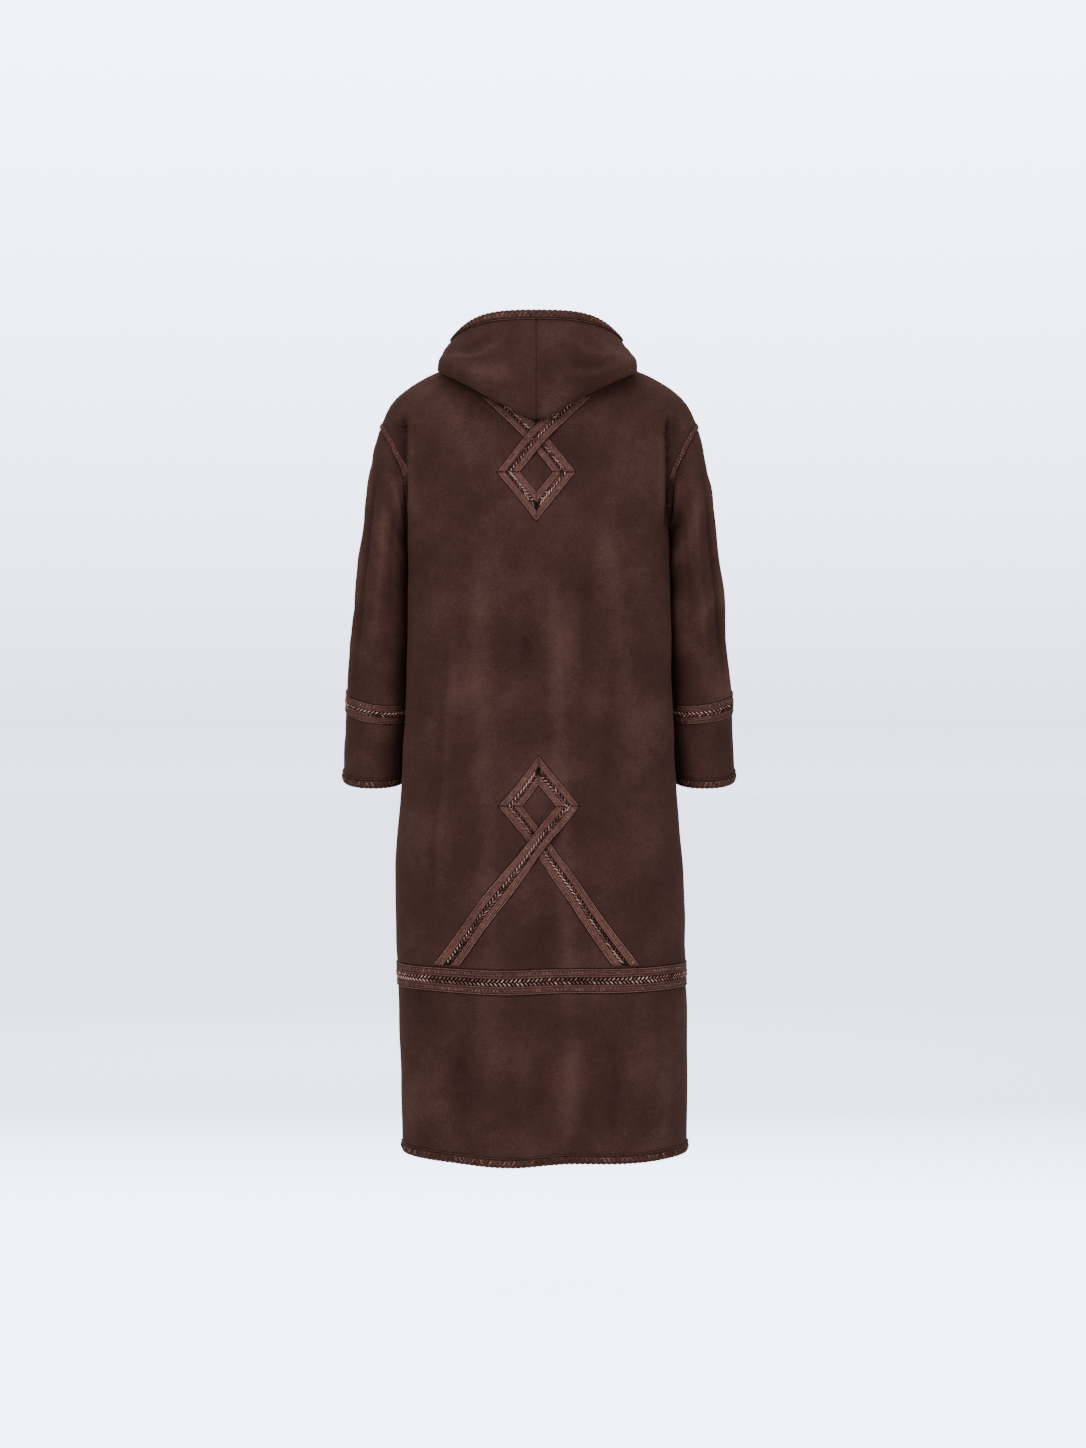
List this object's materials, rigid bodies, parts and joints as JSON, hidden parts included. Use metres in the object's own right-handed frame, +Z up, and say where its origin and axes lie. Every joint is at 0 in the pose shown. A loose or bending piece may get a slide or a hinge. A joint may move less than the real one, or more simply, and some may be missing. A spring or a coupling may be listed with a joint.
{
  "type": "fur-lined hooded robe",
  "caption": "Long hooded suede robe with clipped fur inside, braided straps and bindings, hollow as worn, hood down on the back.",
  "frame": {"origin": "middle of the neck opening, level with the back neckline, where the robe is held up by the neck and shoulders of whoever wears it", "axes": "+Z up, front faces -Y, the wearer's left is +X"},
  "size_m": [0.65, 0.3091, 1.358],
  "materials": {
    "suede": "dark chocolate suede, very matt, with clipped brown fur on its inner side",
    "braid": "plaited and corded leather braid, half matt, a little lighter than the suede"
  },
  "bodies": {
    "root": {"back": "suede", "front_left": "suede", "front_right": "suede", "sleeve_left": "suede", "sleeve_right": "suede", "hood_left": "suede", "hood_right": "suede", "skirt_band": "braid", "hem_binding": "braid", "hood_rim_binding": "braid", "front_binding_left": "braid", "front_binding_right": "braid", "cuff_binding_left": "braid", "cuff_binding_right": "braid", "sleeve_band_left": "braid", "sleeve_band_right": "braid", "armhole_tape_left": "braid", "armhole_tape_right": "braid", "upper_motif_over": "braid", "upper_motif_under": "braid", "lower_motif_over": "braid", "lower_motif_under": "braid"}
  },
  "joints": []
}
